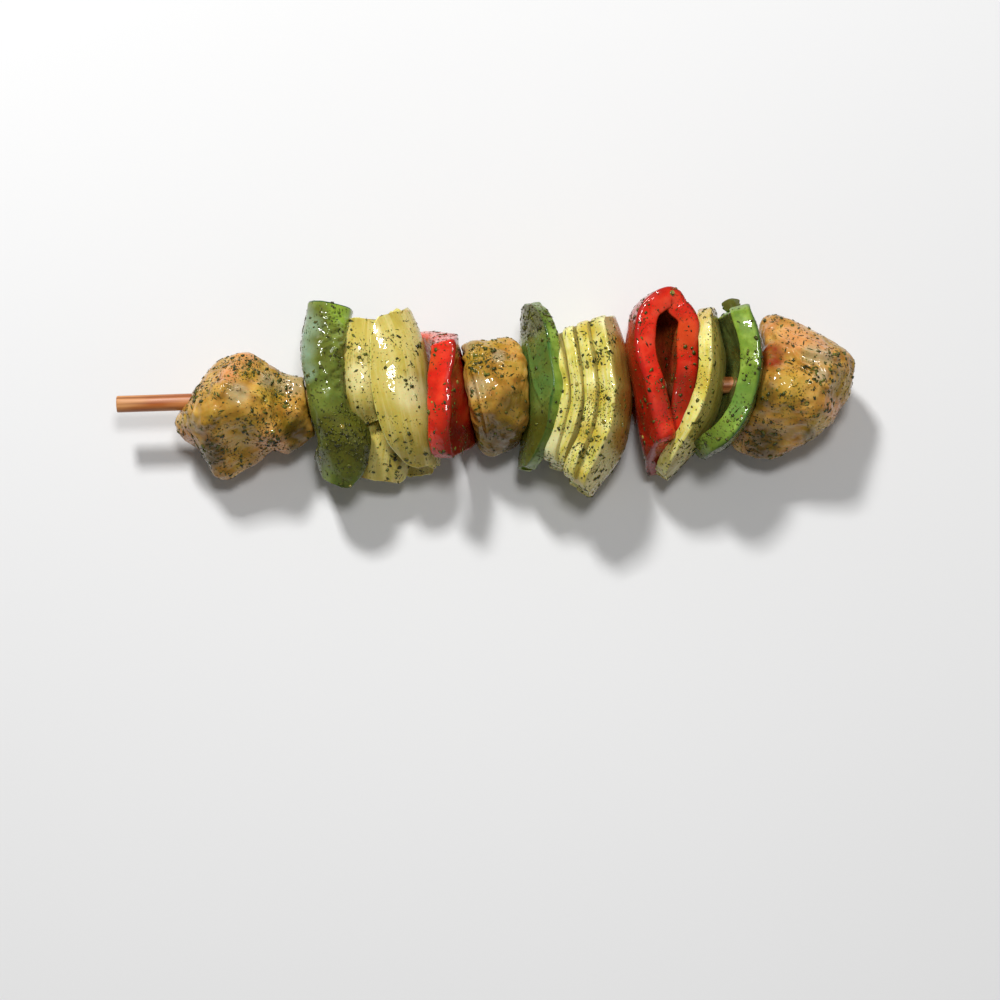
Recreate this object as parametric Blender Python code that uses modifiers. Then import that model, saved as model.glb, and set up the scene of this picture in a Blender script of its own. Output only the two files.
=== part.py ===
"""Raw chicken and vegetable kebab on a wooden stick, lying as it rests on a table.

Every piece of food is threaded on one round stick. Places are given in millimetres in the stick's
own frame: along the stick from its bare end, across it, and up from its axis. The last step sets
the whole kebab on the ground with the origin under the middle of its box.
"""

import math

import bmesh
import bpy
from mathutils import Matrix, Vector

MM = 0.001

# Driving sizes, in millimetres
STICK_LENGTH = 203.0
STICK_RADIUS = 2.4
STICK_EDGE = 0.4
STICK_HEIGHT = 17.0  # the stick's axis above the ground
GAP = 0.35  # room left between pieces that touch
GROUND_SIZE = 1.0  # metres, of the block that is cut away below the ground
MOST_BEND = math.radians(85)  # a rolled plate runs straight on beyond this turn
PEPPER_WALL = 6.0
WIDE_PEPPER_WALL = 7.0
THIN_PEPPER_WALL = 3.8
SCRAP_WALL = 1.8
HEART_WALL = 2.6
ONION_LAYER = 3.4
THICK_ONION_LAYER = 4.2
CUT_ROUNDING = 0.16  # of the wall's thickness
ROUND_END = 0.5
POINTED_END = 1.2
SHARP = math.radians(50)  # edges that turn more than this are rounded

# How finely the solids are faceted
STICK_SIDES = 16
SLOPE_STEP = 0.02  # of a crest's length, over which its direction is taken
STEPS_ALONG = 9
STEPS_ACROSS = 4
FLESH_VOXEL = 1.5
FLESH_SMOOTHING = 4
FLESH_SOFTNESS = 0.5
FLESH_KEEP = 0.115  # share of the triangles left on a chicken chunk

UP = Vector((0, 0, 1))
COLOURS = {
    "wood": (0.62, 0.30, 0.13),
    "chicken": (0.62, 0.36, 0.13),
    "green pepper": (0.12, 0.28, 0.04),
    "red pepper": (0.72, 0.03, 0.01),
    "onion": (0.66, 0.62, 0.22),
}

for old in list(bpy.data.objects):
    bpy.data.objects.remove(old)
kebab = bpy.data.collections.new("chicken kebab")
cutters = bpy.data.collections.new("cutters")
bpy.context.scene.collection.children.link(kebab)
bpy.context.scene.collection.children.link(cutters)
cutters.hide_render = True
root = bpy.data.objects.new("kebab root", None)
kebab.objects.link(root)


def material(name):
    found = bpy.data.materials.get(name)
    if found:
        return found
    made = bpy.data.materials.new(name)
    made.use_nodes = True
    shader = made.node_tree.nodes["Principled BSDF"]
    shader.inputs["Base Color"].default_value = (*COLOURS[name], 1)
    shader.inputs["Roughness"].default_value = 0.6 if name == "wood" else 0.25
    return made


def add_object(name, mesh, food):
    """A named piece in the kebab collection, parented to the root."""
    made = bpy.data.objects.new(name, mesh)
    mesh.materials.append(material(food))
    kebab.objects.link(made)
    made.parent = root
    return made


def make_cutter(name, mesh):
    made = bpy.data.objects.new(name, mesh)
    made.hide_render = True
    made.display_type = "WIRE"
    cutters.objects.link(made)
    made.parent = root
    return made


def mesh_from(name, build):
    """A mesh made by build(bm)."""
    bm = bmesh.new()
    build(bm)
    mesh = bpy.data.meshes.new(name)
    bm.to_mesh(mesh)
    bm.free()
    return mesh


def rod_mesh(name, radius, start, end):
    """A cylinder on the stick's axis."""
    place = Matrix.Translation(Vector(((start + end) / 2, 0, 0)) * MM) @ Matrix.Rotation(
        math.radians(90), 4, "Y"
    )
    return mesh_from(
        name,
        lambda bm: bmesh.ops.create_cone(
            bm,
            cap_ends=True,
            segments=STICK_SIDES,
            radius1=radius * MM,
            radius2=radius * MM,
            depth=(end - start) * MM,
            matrix=place,
        ),
    )


def through(points, t):
    """The point at share t of a smooth curve through the given points."""
    place = t * (len(points) - 1)
    i = min(int(place), len(points) - 2)
    f = place - i
    a, b = Vector(points[i]), Vector(points[i + 1])
    before = Vector(points[i - 1]) if i else 2 * a - b
    after = Vector(points[i + 2]) if i + 2 < len(points) else 2 * b - a
    return 0.5 * (
        2 * a
        + (b - before) * f
        + (2 * before - 5 * a + 4 * b - after) * f**2
        + (3 * a - before - 3 * b + after) * f**3
    )


def rolled(distance, radius, most):
    """(across, down) at a distance over a plate that is rolled to a radius until it has turned
    by the angle most, and is flat beyond."""
    angle = min(abs(distance) / radius, most)
    beyond = abs(distance) - radius * angle
    across = radius * math.sin(angle) + beyond * math.cos(angle)
    down = radius * (1 - math.cos(angle)) + beyond * math.sin(angle)
    return math.copysign(across, distance), down


def between(values, t):
    """The value at share t of a row of evenly spaced ones, eased. A single number holds all along."""
    if isinstance(values, (int, float)):
        return values
    place = t * (len(values) - 1)
    i = min(int(place), len(values) - 2)
    f = place - i
    return values[i] + (values[i + 1] - values[i]) * f * f * (3 - 2 * f)


def end_width(t, ends, rounding, taper):
    """The share of its full width that a plate has at share t of its length."""
    share = 1.0
    for distance, narrow in ((t, ends[0]), (1 - t, ends[1])):
        if distance < rounding:
            rise = (1 - (1 - distance / rounding) ** 2) ** taper
            share = min(share, narrow + (1 - narrow) * rise)
    return share


def wall_piece(
    name,
    food,
    crest,
    span,
    wall,
    radius,
    facing,
    ends=(0.8, 0.8),
    rounding=0.2,
    skew=0.0,
    taper=ROUND_END,
    steps_across=STEPS_ACROSS,
):
    """A piece of pepper wall or onion layer: a plate rolled across its width and bent along its crest.

    crest is the line that its outermost points follow. facing is the direction that they look in,
    in degrees from level, 90 being straight up, and radius how tightly the plate is rolled: both
    can change along the crest. span is how far the plate reaches from the crest on its lower and
    on its upper side, and skew shifts its lower edge along the crest. Each end narrows to its share
    in ends over the share rounding of the length, in a curve that taper makes round or pointed.
    """

    def place(u, v):
        t = u + 0.5
        ahead = through(crest, min(t + SLOPE_STEP, 1))
        behind = through(crest, max(t - SLOPE_STEP, 0))
        along = ((ahead - behind) * Vector((1, 1, 0))).normalized()
        side = UP.cross(along)
        look = math.radians(between(facing, t))
        out = side * math.cos(look) + UP * math.sin(look)
        up = UP * math.cos(look) - side * math.sin(look)
        distance = (v * (span[0] + span[1]) + (span[1] - span[0]) / 2) * end_width(t, ends, rounding, taper)
        across, down = rolled(distance, between(radius, t), MOST_BEND)
        return through(crest, t) + up * across - out * down - along * skew * v

    def build(bm):
        bmesh.ops.create_grid(bm, x_segments=STEPS_ALONG, y_segments=steps_across, size=0.5)
        for vertex in bm.verts:
            vertex.co = place(vertex.co.x, vertex.co.y) * MM

    piece = add_object(name, mesh_from(name, build), food)
    thicken = piece.modifiers.new("wall", "SOLIDIFY")
    thicken.thickness = wall * MM
    thicken.offset = 0
    thicken.use_even_offset = True
    rounded = piece.modifiers.new("cut edges", "BEVEL")
    rounded.width = wall * CUT_ROUNDING * MM
    rounded.segments = 1
    rounded.angle_limit = SHARP
    return piece


def chunk(name, lobes):
    """A chunk of chicken: each lobe is stretched over balls (x, y, z, radius), and the lobes are
    grown into one soft form with creases where they meet."""

    def build(bm):
        for balls in lobes:
            points = bmesh.new()
            for x, y, z, radius in balls:
                place = Matrix.Translation(Vector((x, y, z)) * MM)
                bmesh.ops.create_icosphere(points, subdivisions=2, radius=radius * MM, matrix=place)
            lobe = [bm.verts.new(point.co) for point in points.verts]
            points.free()
            bmesh.ops.convex_hull(bm, input=lobe)
        inside = [vertex for vertex in bm.verts if not vertex.link_faces]
        bmesh.ops.delete(bm, geom=inside, context="VERTS")

    piece = add_object(name, mesh_from(name, build), "chicken")
    grown = piece.modifiers.new("one form", "REMESH")
    grown.mode = "VOXEL"
    grown.voxel_size = FLESH_VOXEL * MM
    soft = piece.modifiers.new("soft", "SMOOTH")
    soft.factor = FLESH_SOFTNESS
    soft.iterations = FLESH_SMOOTHING
    fewer = piece.modifiers.new("facets", "DECIMATE")
    fewer.ratio = FLESH_KEEP
    return piece


def grown_copy(piece):
    """A cutter that is the piece swollen by the gap, before any cut is made in it."""
    cutter = piece.copy()
    cutter.name = piece.name + " room"
    cutter.hide_render = True
    cutter.display_type = "WIRE"
    cutters.objects.link(cutter)
    swell = cutter.modifiers.new("swell", "DISPLACE")
    swell.strength = GAP * MM
    swell.mid_level = 0
    return cutter


def cut(piece, cutter):
    boolean = piece.modifiers.new(cutter.name, "BOOLEAN")
    boolean.operation = "DIFFERENCE"
    boolean.object = cutter


# The stick
stick = add_object("stick", rod_mesh("stick", STICK_RADIUS, 0, STICK_LENGTH), "wood")
chamfer = stick.modifiers.new("edge", "BEVEL")
chamfer.width = STICK_EDGE * MM
chamfer.segments = 1

# Chicken, from the bare end of the stick: balls are (along, across, up, radius)
chunk(
    "chicken_1",
    [
        [
            (21, -6, -2, 5.4),
            (31, 6.5, 3, 5.4),
            (37, 8.4, 3, 5.5),
            (33, 0, 12, 5),
            (27, -4, 11, 5),
            (40, -4, 9, 5),
            (37, -13, -5, 5),
            (25, -8, -13.6, 5),
            (38, -9, -13.8, 5),
            (33, 4, -13.6, 5),
        ],
        [(29, -17.7, -6, 4.5), (27, -9, 3, 6), (35, -14, -3, 5), (30, -10, -11, 5)],
        [
            (41.5, 6, 0, 5),
            (47, -11, -4, 4.5),
            (50, -6, -3, 4),
            (42, -8, 6, 5),
            (45, -6, -13.2, 5),
            (40, 0, -10, 5),
        ],
        [
            (44, 3.5, 1, 4.2),
            (50, 2.2, 1.5, 3.7),
            (52.8, 2.6, 1, 3.8),
            (49, -4, 2, 5),
            (52, -8, -2, 4.4),
            (49, -3, -8, 4),
        ],
        [(35.5, 9.6, 5, 3.6), (31.5, 2, 13.6, 3.4), (34, -3, 12.6, 3.6)],
    ],
)
chunk(
    "chicken_2",
    [
        [
            (100, 10, 3, 4.8),
            (110, 10.5, 3, 5),
            (111.5, 5, 9, 4.5),
            (104, -3, 12, 5),
            (111, -8, 7, 5),
            (110.5, -11, -4, 4.5),
            (105, -13.4, -3, 5),
            (104, -8, -13.6, 5),
            (104, 6, -13.6, 5),
        ],
        [(100.5, 10.5, 5, 4.4), (101.5, 5, 10.5, 4.4), (103, -5, 11, 4.4), (105.5, 9, 7, 4.6)],
    ],
)
chunk(
    "chicken_3",
    [
        [
            (184, -3, 11.5, 5.2),
            (194, -6, 9, 5.5),
            (197.5, -8.5, -1, 5),
            (190, -13, -1, 5.5),
            (182, -16.5, -5, 5.3),
            (175.5, -15, -6, 4),
            (184, 5, 8, 4.5),
            (186, -10, -13.6, 5),
            (196, -3, -13.6, 5),
            (184, 4, -13.6, 4.8),
        ],
        [
            (184.5, 15.5, 0, 4.6),
            (191, 11.6, 3, 4.8),
            (202.8, 4.5, 3, 5),
            (200, 7, 0, 5),
            (187, 9, 7, 4.6),
            (197, 3, 10.5, 4.8),
            (188, 8, -13.2, 5),
            (200, 2, -9, 5),
            (201, -2, 1, 5.4),
        ],
        [(186, 0, 12, 4.4), (196, -1, 12, 4.2), (197, -9, 3, 4.6), (189, -9, 7, 4.6)],
    ],
)

# Green pepper
wall_piece(
    "green_pepper_1",
    "green pepper",
    crest=[
        (60.6, 24.6, 9),
        (58.6, 14, 13.5),
        (58.7, 2, 14.5),
        (60.4, -6.5, 13.5),
        (64.2, -14, 11.5),
        (64.4, -24.8, 3),
    ],
    span=(9, 28),
    wall=THIN_PEPPER_WALL,
    radius=(4.4, 4.1, 3.4, 3.6, 6, 5),
    facing=(92, 92, 95, 95, 88, 85),
    ends=(0.9, 0.05),
    rounding=0.34,
    taper=POINTED_END,
    steps_across=7,
)
wall_piece(
    "green_pepper_2",
    "green pepper",
    crest=[(117, 23.5, 5), (116.1, 10, 4), (115.9, -6, 3), (114.4, -21.5, 0)],
    span=(15, 15),
    wall=THIN_PEPPER_WALL,
    radius=30,
    facing=(166, 165, 166, 168),
    ends=(0.2, 0.2),
    rounding=0.5,
)
wall_piece(
    "green_pepper_3",
    "green pepper",
    crest=[
        (173.9, 19.8, 1),
        (176.3, 10.5, 2),
        (176.1, 2, 2),
        (173.6, -6.5, 1),
        (169, -13.6, 0),
        (162.4, -17.4, -2),
    ],
    span=(15, 14),
    wall=PEPPER_WALL,
    radius=30,
    facing=-16,
    ends=(0.8, 0.7),
)
wall_piece(
    "green_pepper_scrap",
    "green pepper",
    crest=[(171.2, 21.4, 1.6), (173.2, 22.3, 2.4), (175.2, 22.2, 1.6)],
    span=(1.5, 1.4),
    wall=SCRAP_WALL,
    radius=6,
    facing=60,
    ends=(0.5, 0.6),
    steps_across=2,
)

# Red pepper
wall_piece(
    "red_pepper_1",
    "red pepper",
    crest=[(92.6, 15.6, 3), (94.4, 6, 4), (95.6, -3, 4), (96.2, -14, -1)],
    span=(16, 13),
    wall=WIDE_PEPPER_WALL,
    radius=34,
    facing=(-6, 8, 14, 16),
    ends=(1, 0.9),
    skew=-7,
)
wall_piece(
    "red_pepper_2",
    "red pepper",
    crest=[
        (150.8, -19.3, 1),
        (148, -4, 3),
        (146, 9, 4),
        (147.6, 19, 4),
        (153.3, 23.4, 3),
        (157.8, 18.4, 1),
        (156.4, 8, -2),
        (154.2, -3.5, -4),
        (152, -12.5, -5),
    ],
    span=(13, 12.5),
    wall=PEPPER_WALL,
    radius=40,
    facing=(8, 4, 0, 0, -4, -18, -28, -28, -22),
    ends=(0.85, 0.6),
    rounding=0.12,
    skew=-7,
)

# Onion 1, a wedge whose outer layer covers the right of the inner one
wall_piece(
    "onion_1_left",
    "onion",
    crest=[(68.6, 20.6, 6.5), (68, 10, 10.8), (68.4, -1, 10.6), (69.8, -7.4, 5.5)],
    span=(8, 19),
    wall=ONION_LAYER,
    radius=(4.6, 4.2, 4.2, 4.6),
    facing=(105, 105, 110, 115),
    ends=(0.45, 0.45),
    rounding=0.45,
)
wall_piece(
    "onion_1_right",
    "onion",
    crest=[(77.6, 21.8, 8.5), (81.4, 11.5, 11), (83.1, 0, 11.5), (85.2, -10.5, 8.5), (86.9, -19.3, 0)],
    span=(21, 10.5),
    wall=ONION_LAYER,
    radius=(9, 10, 10, 8, 6),
    facing=(58, 55, 52, 50, 45),
    ends=(0.2, 0.2),
    rounding=0.45,
)
wall_piece(
    "onion_1_lower",
    "onion",
    crest=[(73.6, -4, 1), (73.2, -13, 2), (71.6, -22.5, -4)],
    span=(11, 16),
    wall=ONION_LAYER,
    radius=7.6,
    facing=92,
    ends=(0.5, 0.5),
    rounding=0.5,
)
wall_piece(
    "onion_1_heart",
    "onion",
    crest=[(82.5, -9, -9), (83.6, -15.5, -9.5), (84.2, -21.5, -11)],
    span=(4, 4),
    wall=HEART_WALL,
    radius=6,
    facing=80,
    ends=(0.6, 0.6),
    rounding=0.4,
    steps_across=2,
)

# Onion 2, four nested layers from the heart outwards
ONION_2 = {
    # name: (layer thickness, crest)
    "onion_2_inner": (4.4, [(125.4, 15, 0), (128.6, 6, 1), (129.5, -3, 1), (127.6, -12, 0), (123, -21, -1)]),
    "onion_2_second": (3.3, [(130, 17, 1), (132.9, 7, 2), (133.6, -3, 2), (131.5, -12, 1), (126, -22, -1)]),
    "onion_2_third": (3.5, [(133.8, 18, 2), (136.6, 8, 3), (137.3, -3, 3), (134.8, -15, 2), (128, -26, 0)]),
    "onion_2_outer": (4.8, [(138.2, 19, 3), (141.3, 8, 3), (141.9, -4, 3), (139, -17, 2), (130.6, -28, -1)]),
}
for name, (layer, crest) in ONION_2.items():
    wall_piece(
        name,
        "onion",
        crest=crest,
        span=(16, 15),
        wall=layer,
        radius=35,
        facing=7,
        ends=(0.7, 0.6),
        rounding=0.3,
    )

# Onion 3, one long layer
wall_piece(
    "onion_3",
    "onion",
    crest=[(166.3, 20.5, 4), (168.5, 8, 5), (167, -4, 5), (161.6, -14.5, 3), (152.4, -24, -4)],
    span=(15, 12),
    wall=THICK_ONION_LAYER,
    radius=32,
    facing=10,
    ends=(0.3, 0.2),
    rounding=0.5,
)

# Where two pieces press together, the softer one gives way: each is cut by those before it
FIRM_TO_SOFT = ["green_pepper", "red_pepper", "onion", "chicken"]
food = sorted(
    (piece for piece in kebab.objects if piece.type == "MESH" and piece is not stick),
    key=lambda piece: [piece.name.startswith(kind) for kind in FIRM_TO_SOFT].index(True),
)
bore = make_cutter("bore", rod_mesh("bore", STICK_RADIUS + GAP, -GAP, STICK_LENGTH + GAP))
room = {piece: grown_copy(piece) for piece in food}


def table(bm):
    """Everything below the ground."""
    place = Matrix.Translation((0, 0, -GROUND_SIZE / 2 - STICK_HEIGHT * MM))
    bmesh.ops.create_cube(bm, size=GROUND_SIZE, matrix=place)


ground = make_cutter("ground", mesh_from("ground", table))


def box_of(piece):
    """The lowest and highest corners of a piece as it stands."""
    solid = piece.evaluated_get(bpy.context.evaluated_depsgraph_get())
    corners = [solid.matrix_world @ Vector(corner) for corner in solid.bound_box]
    return [Vector(map(pick, zip(*corners))) for pick in (min, max)]


bpy.context.view_layer.update()
boxes = {piece: box_of(piece) for piece in food}


def near(one, other):
    low, high = boxes[one]
    other_low, other_high = boxes[other]
    return all(low[i] < other_high[i] + GAP * MM and other_low[i] < high[i] + GAP * MM for i in range(3))


for i, piece in enumerate(food):
    cut(piece, bore)
    for firmer in food[:i]:
        if near(piece, firmer):
            cut(piece, room[firmer])
    if boxes[piece][0].z < -STICK_HEIGHT * MM:
        cut(piece, ground)
for piece in food:
    piece.data.shade_smooth()
    piece.data.set_sharp_from_angle(angle=SHARP)

# Rest the whole on the ground, over the origin
bpy.context.view_layer.update()
lows, highs = zip(*(box_of(piece) for piece in [stick, *food]))
low = Vector(map(min, zip(*lows)))
high = Vector(map(max, zip(*highs)))
root.location = -Vector(((low.x + high.x) / 2, (low.y + high.y) / 2, low.z))
bpy.context.view_layer.update()
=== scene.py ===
"""Raw chicken and vegetable kebab on a wooden stick, wet with an oily herb marinade."""

import math

import bmesh
import bpy
import numpy as np
from mathutils import Matrix, Vector, noise
from mathutils.bvhtree import BVHTree


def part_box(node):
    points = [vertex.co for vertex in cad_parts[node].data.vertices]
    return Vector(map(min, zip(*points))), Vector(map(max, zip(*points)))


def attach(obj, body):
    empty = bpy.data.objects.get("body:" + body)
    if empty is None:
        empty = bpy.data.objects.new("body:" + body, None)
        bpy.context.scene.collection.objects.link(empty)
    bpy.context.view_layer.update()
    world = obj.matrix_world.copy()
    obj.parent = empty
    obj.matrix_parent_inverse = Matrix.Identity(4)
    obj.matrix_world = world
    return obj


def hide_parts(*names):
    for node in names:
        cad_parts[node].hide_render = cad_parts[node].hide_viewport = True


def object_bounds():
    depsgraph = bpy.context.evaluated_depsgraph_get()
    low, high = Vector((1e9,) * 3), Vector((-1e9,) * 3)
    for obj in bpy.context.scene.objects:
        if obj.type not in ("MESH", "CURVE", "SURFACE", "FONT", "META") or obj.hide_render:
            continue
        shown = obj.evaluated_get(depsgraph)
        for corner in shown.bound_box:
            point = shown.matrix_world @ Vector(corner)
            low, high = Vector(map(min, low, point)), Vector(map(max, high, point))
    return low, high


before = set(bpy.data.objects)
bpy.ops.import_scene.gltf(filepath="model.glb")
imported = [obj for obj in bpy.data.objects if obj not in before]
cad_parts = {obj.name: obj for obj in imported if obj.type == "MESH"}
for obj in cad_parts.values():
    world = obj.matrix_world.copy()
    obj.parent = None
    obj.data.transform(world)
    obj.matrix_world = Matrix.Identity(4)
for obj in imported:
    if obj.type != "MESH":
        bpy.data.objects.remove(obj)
cad_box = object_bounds()

# ---------------------------------------------------------------------------------------------
# The stick: a round kebab stick of pale hardwood, drawn through a die and cut off square, so its
# grain runs straight along it and its cut end is a little fuzzy. Marinade has darkened it.
# ---------------------------------------------------------------------------------------------
MM = 0.001
STICK_LOW, STICK_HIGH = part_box("stick")
STICK_LENGTH = (STICK_HIGH.x - STICK_LOW.x) / MM
STICK_RADIUS = (STICK_HIGH.z - STICK_LOW.z) / 2 / MM
BARE_END = Vector((STICK_LOW.x, (STICK_LOW.y + STICK_HIGH.y) / 2, (STICK_LOW.z + STICK_HIGH.z) / 2))
UP = Vector((0, 0, 1))


def from_stick(point):
    """A point in millimetres from the middle of the stick's bare end, as a place in the frame."""
    return BARE_END + Vector(point) * MM


def linear(code):
    """The linear colour of an sRGB hex value."""
    parts = [int(code[i : i + 2], 16) / 255 for i in (1, 3, 5)]
    return (*(c / 12.92 if c <= 0.04045 else ((c + 0.055) / 1.055) ** 2.4 for c in parts), 1.0)


def add(tree, kind, links=None, ramp=None, **settings):
    """Adds a node. settings are its properties, links its inputs, each a value or an output, and
    ramp the stops of a colour ramp, each a place and a hex value."""
    made = tree.nodes.new(kind)
    for name, value in settings.items():
        setattr(made, name, value)
    for stop, (place, code) in enumerate(ramp or []):
        element = made.color_ramp.elements
        point = element[stop] if stop < 2 else element.new(place)
        point.position = place
        point.color = linear(code)
    for socket, value in (links or {}).items():
        if isinstance(value, bpy.types.NodeSocket):
            tree.links.new(value, made.inputs[socket])
        else:
            made.inputs[socket].default_value = value
    return made


def new_material(name, **uniform):
    """A material with its Principled shader, whose sockets named by uniform hold one value all over."""
    made = bpy.data.materials.new(name)
    made.use_nodes = True
    tree = made.node_tree
    shader = tree.nodes["Principled BSDF"]
    for socket, value in uniform.items():
        shader.inputs[socket.replace("_", " ")].default_value = value
    return made, tree, shader


def mesh_object(name, mesh, *materials):
    piece = bpy.data.objects.new(name, mesh)
    bpy.context.scene.collection.objects.link(piece)
    for finish in materials:
        mesh.materials.append(finish)
    mesh.shade_smooth()
    return piece


def stick_wood():
    """Hardwood, unfinished: long dark pores on orange tan, dull, with a damp patchy sheen."""
    made, tree, shader = new_material("stick wood, damp", Coat_Weight=0.1, Coat_Roughness=0.35)
    place = add(tree, "ShaderNodeTexCoord").outputs["Object"]
    along = add(tree, "ShaderNodeMapping", {"Vector": place, "Scale": (30, 900, 900)})
    pores = add(tree, "ShaderNodeTexNoise", {"Vector": along.outputs[0], "Scale": 1, "Detail": 4})
    broad = add(tree, "ShaderNodeMapping", {"Vector": place, "Scale": (60, 220, 220)})
    bands = add(tree, "ShaderNodeTexNoise", {"Vector": broad.outputs[0], "Scale": 1, "Detail": 2})
    tone = add(
        tree,
        "ShaderNodeValToRGB",
        {"Fac": pores.outputs[0]},
        ramp=[(0.32, "#96602f"), (0.62, "#d8a066"), (0.48, "#c48a50")],
    )
    damp = [(0.3, "#d9a676"), (0.7, "#ffffff")]
    warm = add(tree, "ShaderNodeValToRGB", {"Fac": bands.outputs[0]}, ramp=damp)
    colour = add(
        tree,
        "ShaderNodeMix",
        {"Factor": 1.0, "A": tone.outputs[0], "B": warm.outputs[0]},
        data_type="RGBA",
        blend_type="MULTIPLY",
    )
    tree.links.new(colour.outputs["Result"], shader.inputs["Base Color"])
    rough = add(
        tree,
        "ShaderNodeMapRange",
        {"Value": bands.outputs[0], "From Min": 0.3, "From Max": 0.7, "To Min": 0.4, "To Max": 0.65},
    )
    tree.links.new(rough.outputs[0], shader.inputs["Roughness"])
    bump = add(tree, "ShaderNodeBump", {"Height": pores.outputs[0], "Strength": 0.25, "Distance": 0.0002})
    tree.links.new(bump.outputs[0], shader.inputs["Normal"])
    return made


def stick_mesh():
    """Rings along the stick, closed at the ends, with a worn edge and slightly uneven sides."""
    sides = 48
    ends = [(0.0, 0.0), (0.0, 0.6), (0.0, 0.9), (0.12, 0.97), (0.4, 1.0)]
    body = [(at, 1.0) for at in np.linspace(2, STICK_LENGTH - 2, 60)]
    rings = ends + body + [(STICK_LENGTH - at, share) for at, share in reversed(ends)]
    bm = bmesh.new()
    loops = []
    for at, share in rings:
        loop = []
        for k in range(sides):
            turn = 2 * math.pi * k / sides
            out = Vector((0, math.cos(turn), math.sin(turn)))
            uneven = 1 - 0.018 * (1 + noise.noise((at * 0.05, out.y * 1.3, out.z * 1.3)))
            fuzz = 0.05 * noise.noise(out * share * 9) if 0.3 < share < 1 else 0.0
            place = Vector((at + fuzz, 0, 0)) + out * STICK_RADIUS * share * uneven
            loop.append(bm.verts.new(from_stick(place)))
        loops.append(loop)
    for one, two in zip(loops, loops[1:]):
        for k in range(sides):
            bm.faces.new((one[k], one[(k + 1) % sides], two[(k + 1) % sides], two[k]))
    bmesh.ops.remove_doubles(bm, verts=bm.verts, dist=1e-7)
    bmesh.ops.recalc_face_normals(bm, faces=bm.faces)
    mesh = bpy.data.meshes.new("stick_turned")
    bm.to_mesh(mesh)
    bm.free()
    return mesh


stick = mesh_object("stick_turned", stick_mesh(), stick_wood())
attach(stick, "root")
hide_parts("stick")

# ---------------------------------------------------------------------------------------------
# Green pepper: three slices and a scrap of the wall of a green bell pepper. The waxy skin is deep
# green, the knife's cut is bright lime and grainy with cells, and the inner wall is dull and olive.
# ---------------------------------------------------------------------------------------------
RIM_STEPS = 8
RIM_SQUARENESS = 0.55  # 1 gives a round cut edge, and less a squarer one
RIM_BULGE = 0.16  # of the wall's thickness
TOP_EASE = 0.3  # millimetres that relief may stand above the food's top
ROUND_END = 0.5
POINTED_END = 1.2
ALONG_STEPS = 120
ACROSS_STEPS = 66
SLOPE_STEP = 0.02
MOST_BEND = math.radians(85)


def through(points, t):
    """The point at share t of a smooth curve through the given points."""
    place = t * (len(points) - 1)
    i = min(int(place), len(points) - 2)
    f = place - i
    a, b = Vector(points[i]), Vector(points[i + 1])
    before = Vector(points[i - 1]) if i else 2 * a - b
    after = Vector(points[i + 2]) if i + 2 < len(points) else 2 * b - a
    return 0.5 * (
        2 * a
        + (b - before) * f
        + (2 * before - 5 * a + 4 * b - after) * f**2
        + (3 * a - before - 3 * b + after) * f**3
    )


def between(values, t):
    """The value at share t of a row of evenly spaced ones, eased. A single number holds all along."""
    if isinstance(values, (int, float)):
        return values
    place = t * (len(values) - 1)
    i = min(int(place), len(values) - 2)
    f = place - i
    return values[i] + (values[i + 1] - values[i]) * f * f * (3 - 2 * f)


def end_width(t, ends, rounding, taper):
    """The share of its full width that a slice has at share t of its length."""
    share = 1.0
    for distance, narrow in ((t, ends[0]), (1 - t, ends[1])):
        if distance < rounding:
            rise = (1 - (1 - distance / rounding) ** 2) ** taper
            share = min(share, narrow + (1 - narrow) * rise)
    return share


def rolled(distance, radius):
    """(across, down) at a distance over a plate rolled to a radius, and flat beyond the most bend."""
    angle = min(abs(distance) / radius, MOST_BEND)
    beyond = abs(distance) - radius * angle
    across = radius * math.sin(angle) + beyond * math.cos(angle)
    down = radius * (1 - math.cos(angle)) + beyond * math.sin(angle)
    return math.copysign(across, distance), down


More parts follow.
